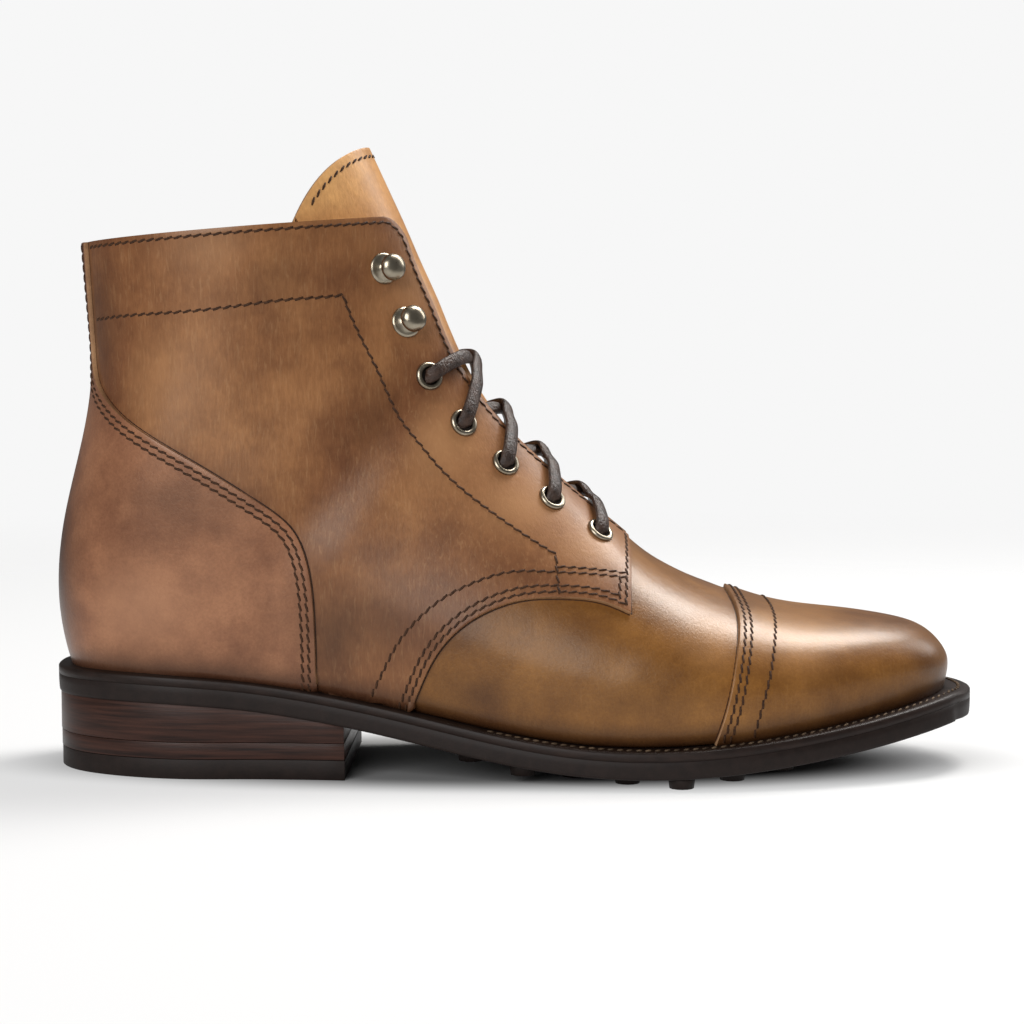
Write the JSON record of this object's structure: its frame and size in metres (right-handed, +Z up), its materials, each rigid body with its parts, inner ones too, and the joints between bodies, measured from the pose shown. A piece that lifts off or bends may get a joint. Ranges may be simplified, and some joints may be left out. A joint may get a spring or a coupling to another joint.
{
  "type": "lace-up boot",
  "caption": "Ankle-high brown leather lace-up boot with a stitched toe cap, quarters laid over the vamp, eyelets and hooks, and a welted sole with a stacked heel.",
  "frame": {"origin": "on the floor under the middle of the boot", "axes": "+X towards the toe, +Z up, -Y towards the outer side of the right foot"},
  "size_m": [0.3101, 0.1102, 0.2074],
  "materials": {
    "upper_leather": "oiled pull-up leather, satin",
    "panel_leather": "oiled pull-up leather, satin, burnished at the edges",
    "tongue_leather": "lighter tan leather, satin",
    "insole_leather": "plain leather, matt",
    "welt_leather": "dark stained edge, waxed",
    "heel_stack": "stacked leather, stained and waxed",
    "sole_rubber": "matt black-brown rubber",
    "metal": "antique nickel plate, satin",
    "lace": "waxed braided cotton"
  },
  "bodies": {
    "root": {"upper": "upper_leather", "toe_cap": "panel_leather", "quarter_outer": "panel_leather", "quarter_inner": "panel_leather", "heel_counter": "panel_leather", "tongue": "tongue_leather", "insole": "insole_leather", "welt": "welt_leather", "outsole": "sole_rubber", "heel_top_lift": "sole_rubber", "heel_lift_upper": "heel_stack", "heel_lift_lower": "heel_stack", "eyelet_outer_1": "metal", "eyelet_outer_2": "metal", "eyelet_outer_3": "metal", "eyelet_outer_4": "metal", "eyelet_outer_5": "metal", "hook_outer_1": "metal", "hook_outer_2": "metal", "eyelet_inner_1": "metal", "eyelet_inner_2": "metal", "eyelet_inner_3": "metal", "eyelet_inner_4": "metal", "eyelet_inner_5": "metal", "hook_inner_1": "metal", "hook_inner_2": "metal", "lace_cross_1": "lace", "lace_cross_2": "lace", "lace_cross_3": "lace", "lace_cross_4": "lace"}
  },
  "joints": []
}
